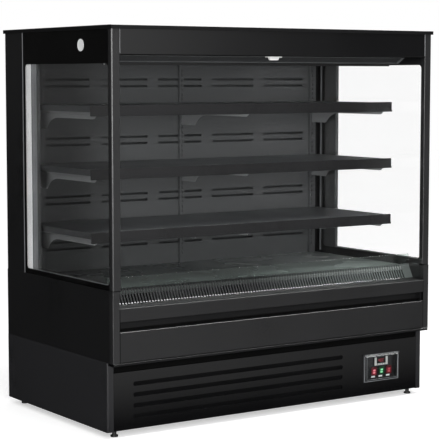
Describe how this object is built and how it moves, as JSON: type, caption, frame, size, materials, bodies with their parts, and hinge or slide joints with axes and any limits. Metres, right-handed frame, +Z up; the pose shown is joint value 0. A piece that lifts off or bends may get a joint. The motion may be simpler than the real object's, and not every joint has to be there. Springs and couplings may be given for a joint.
{
  "type": "open multideck display fridge",
  "caption": "Open-fronted upright display fridge on levelling feet with glazed ends, folded shelves on slotted uprights, a slotted return grille and a pull-down night blind.",
  "frame": {"origin": "on the floor under the middle of the cabinet's bounding box", "axes": "+X to the right seen from the customer's side, +Y from the open front to the rear, +Z up"},
  "size_m": [2.014, 1.141, 2],
  "materials": {
    "body_black": "satin black powder coat",
    "inner_grey": "satin dark grey powder coat",
    "rail_black": "satin black plastic",
    "control_black": "satin black moulding",
    "bezel_grey": "satin grey moulding",
    "clear_plastic": "clear polished plastic",
    "lens_red": "translucent red lens",
    "lens_green": "translucent green lens",
    "foot_black": "moulded black plastic",
    "machine_black": "semi-gloss black enamel",
    "zinc_steel": "zinc-coated sheet",
    "coil_aluminium": "plain aluminium fins",
    "copper": "drawn copper tube",
    "clear_glass": "clear toughened glass",
    "profile_aluminium": "natural anodised",
    "bar_aluminium": "natural anodised",
    "outlet_grey": "moulded grey plastic",
    "blind_fabric": "woven coated cloth",
    "white_plastic": "moulded white plastic",
    "lamp_diffuser": "opal diffuser, unlit"
  },
  "bodies": {
    "cabinet": {"base_tray": "zinc_steel", "base_side_left": "body_black", "base_side_right": "body_black", "kick_grille": "body_black", "rear_grille": "body_black", "control_panel": "control_black", "temperature_controller": "bezel_grey", "compressor": "machine_black", "condenser": "coil_aluminium", "condensate_tray": "zinc_steel", "refrigerant_pipes": "copper", "lower_tank": "inner_grey", "lower_end_left": "body_black", "lower_end_right": "body_black", "lower_fascia": "body_black", "bumper_rail": "body_black", "return_air_grille": "inner_grey", "front_riser": "clear_glass", "deck_pans": "inner_grey", "evaporator": "coil_aluminium", "evaporator_fan_plate": "zinc_steel", "rear_wall": "body_black", "duct_panel": "inner_grey", "slotted_uprights": "inner_grey", "shelf_top": "inner_grey", "shelf_middle": "inner_grey", "shelf_lower": "inner_grey", "shelf_brackets": "inner_grey", "price_rails": "rail_black", "canopy": "body_black", "ceiling_panel": "inner_grey", "roof_cap": "body_black", "header_fascia": "body_black", "air_outlet": "outlet_grey", "end_rails": "rail_black", "glass_edge_profiles": "profile_aluminium", "side_glass_left": "clear_glass", "side_glass_right": "clear_glass", "rear_post_left": "body_black", "rear_post_right": "body_black", "front_post_left": "body_black", "front_post_right": "body_black", "canopy_lamp": "lamp_diffuser", "side_discs": "white_plastic"},
    "night_blind": {"blind_bar": "bar_aluminium", "blind_handle": "white_plastic", "blind_cloth": "blind_fabric"},
    "blind_roll": {"blind_roller": "blind_fabric"},
    "cover": {"control_cover": "clear_plastic"},
    "left_rocker": {"rocker_left": "lens_red"},
    "middle_rocker": {"rocker_middle": "lens_green"},
    "right_rocker": {"rocker_right": "lens_red"},
    "condenser_rotor": {"condenser_fan": "machine_black"},
    "left_rotor": {"evaporator_fan_left": "machine_black"},
    "middle_rotor": {"evaporator_fan_middle": "machine_black"},
    "right_rotor": {"evaporator_fan_right": "machine_black"},
    "front_left_foot": {"foot_front_left": "foot_black"},
    "front_right_foot": {"foot_front_right": "foot_black"},
    "rear_left_foot": {"foot_rear_left": "foot_black"},
    "rear_right_foot": {"foot_rear_right": "foot_black"}
  },
  "joints": [
    {"name": "blind_pull", "type": "slide", "parent": "cabinet", "child": "night_blind", "axis": [0, 0, -1], "range_m": [0, 1.17], "stiffness_N_per_m": 5, "springref_m": -4.4, "deforming": ["blind_cloth"]},
    {"name": "blind_roller_spin", "type": "hinge", "parent": "cabinet", "child": "blind_roll", "pos_m": [0, -0.459, 1.905], "axis": [1, 0, 0], "range_deg": [0, 2600]},
    {"name": "cover_hinge", "type": "hinge", "parent": "cabinet", "child": "cover", "pos_m": [0.7155, -0.5095, 0.2515], "axis": [-1, 0, 0], "range_deg": [0, 105]},
    {"name": "left_rocker_tilt", "type": "hinge", "parent": "cabinet", "child": "left_rocker", "pos_m": [0.6805, -0.4845, 0.154], "axis": [-1, 0, 0], "range_deg": [0, 16]},
    {"name": "middle_rocker_tilt", "type": "hinge", "parent": "cabinet", "child": "middle_rocker", "pos_m": [0.7325, -0.4845, 0.154], "axis": [-1, 0, 0], "range_deg": [0, 16]},
    {"name": "right_rocker_tilt", "type": "hinge", "parent": "cabinet", "child": "right_rocker", "pos_m": [0.7845, -0.4845, 0.154], "axis": [-1, 0, 0], "range_deg": [0, 16]},
    {"name": "condenser_fan_spin", "type": "hinge", "parent": "cabinet", "child": "condenser_rotor", "pos_m": [-0.56, -0.389, 0.153], "axis": [0, 1, 0], "continuous": true},
    {"name": "left_rotor_spin", "type": "hinge", "parent": "cabinet", "child": "left_rotor", "pos_m": [-0.6, -0.134, 0.569], "axis": [0, 1, 0], "continuous": true},
    {"name": "middle_rotor_spin", "type": "hinge", "parent": "cabinet", "child": "middle_rotor", "pos_m": [0, -0.134, 0.569], "axis": [0, 1, 0], "continuous": true},
    {"name": "right_rotor_spin", "type": "hinge", "parent": "cabinet", "child": "right_rotor", "pos_m": [0.6, -0.134, 0.569], "axis": [0, 1, 0], "continuous": true},
    {"name": "front_left_foot_turn", "type": "hinge", "parent": "cabinet", "child": "front_left_foot", "pos_m": [-0.9407, -0.463, 0.015], "axis": [0, 0, 1], "continuous": true},
    {"name": "front_right_foot_turn", "type": "hinge", "parent": "cabinet", "child": "front_right_foot", "pos_m": [0.9407, -0.463, 0.015], "axis": [0, 0, 1], "continuous": true},
    {"name": "rear_left_foot_turn", "type": "hinge", "parent": "cabinet", "child": "rear_left_foot", "pos_m": [-0.9407, 0.493, 0.015], "axis": [0, 0, 1], "continuous": true},
    {"name": "rear_right_foot_turn", "type": "hinge", "parent": "cabinet", "child": "rear_right_foot", "pos_m": [0.9407, 0.493, 0.015], "axis": [0, 0, 1], "continuous": true}
  ],
  "couplings": [
    {"joint": "blind_roller_spin", "follows": "blind_pull", "rad_per_m": 38.462}
  ]
}
